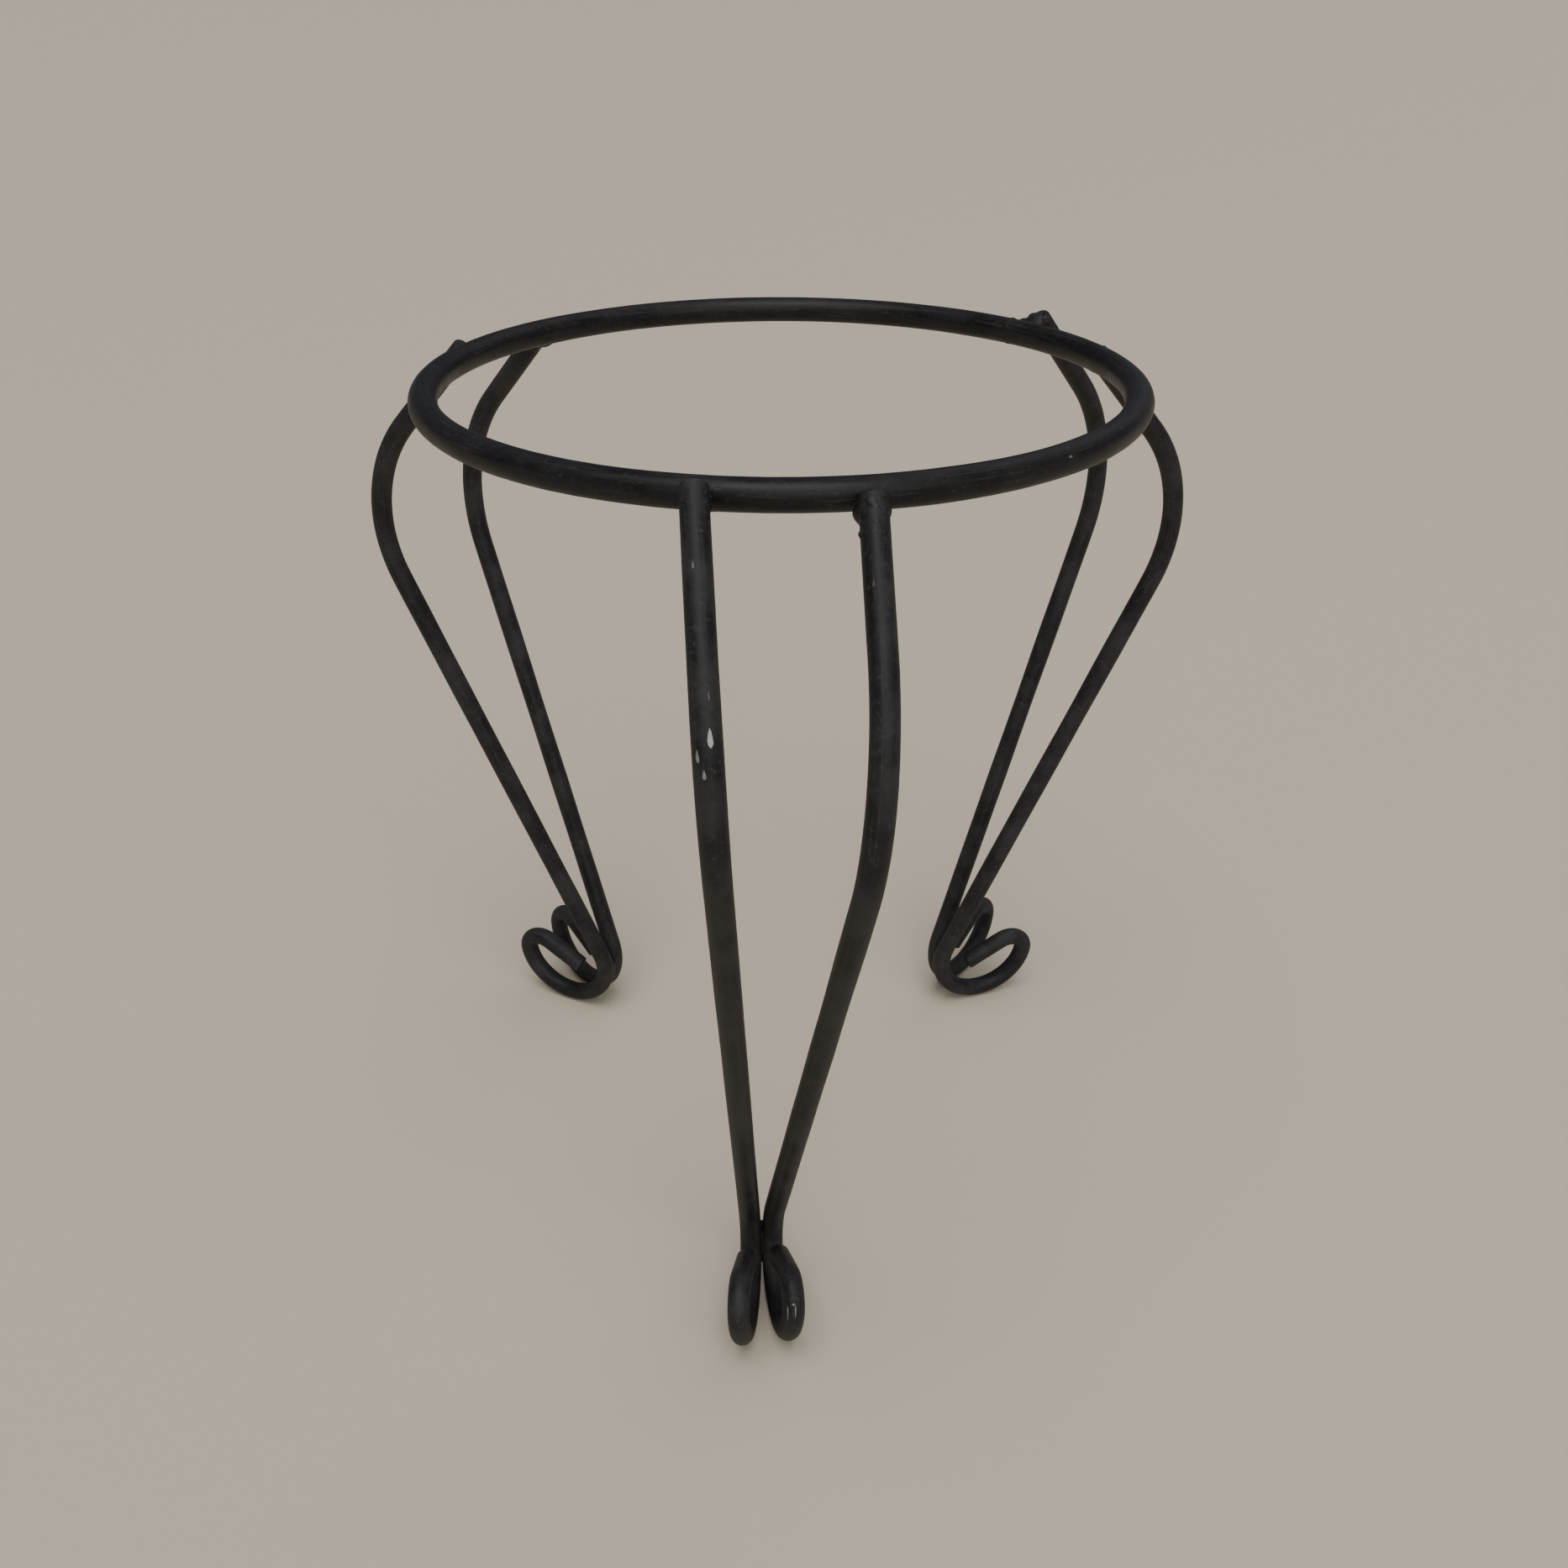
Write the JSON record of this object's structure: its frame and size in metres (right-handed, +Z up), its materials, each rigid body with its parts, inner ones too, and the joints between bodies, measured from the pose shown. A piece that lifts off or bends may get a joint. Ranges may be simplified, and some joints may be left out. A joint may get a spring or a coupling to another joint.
{
  "type": "plant pot stand",
  "caption": "Round-rod hoop that holds a plant pot, on bent rod legs welded in pairs, with scroll feet, painted black.",
  "frame": {"origin": "middle of the object's bounding box on the floor it stands on", "axes": "+Z up along the hoop's axis, -Y towards the front pair of legs, +X to the right when seen from the front"},
  "size_m": [0.3338, 0.3053, 0.3322],
  "materials": {
    "rod_paint": "satin black paint over steel rod, with small pale chips",
    "weld_paint": "satin black paint over rough weld beads"
  },
  "bodies": {
    "root": {"hoop": "rod_paint", "front_left_leg": "rod_paint", "front_right_leg": "rod_paint", "right_outer_leg": "rod_paint", "right_rear_leg": "rod_paint", "left_outer_leg": "rod_paint", "left_rear_leg": "rod_paint", "front_left_hoop_weld": "weld_paint", "front_right_hoop_weld": "weld_paint", "right_outer_hoop_weld": "weld_paint", "right_rear_hoop_weld": "weld_paint", "left_outer_hoop_weld": "weld_paint", "left_rear_hoop_weld": "weld_paint", "front_ankle_weld": "weld_paint", "right_ankle_weld": "weld_paint", "left_ankle_weld": "weld_paint", "hoop_joint_weld": "weld_paint"}
  },
  "joints": []
}
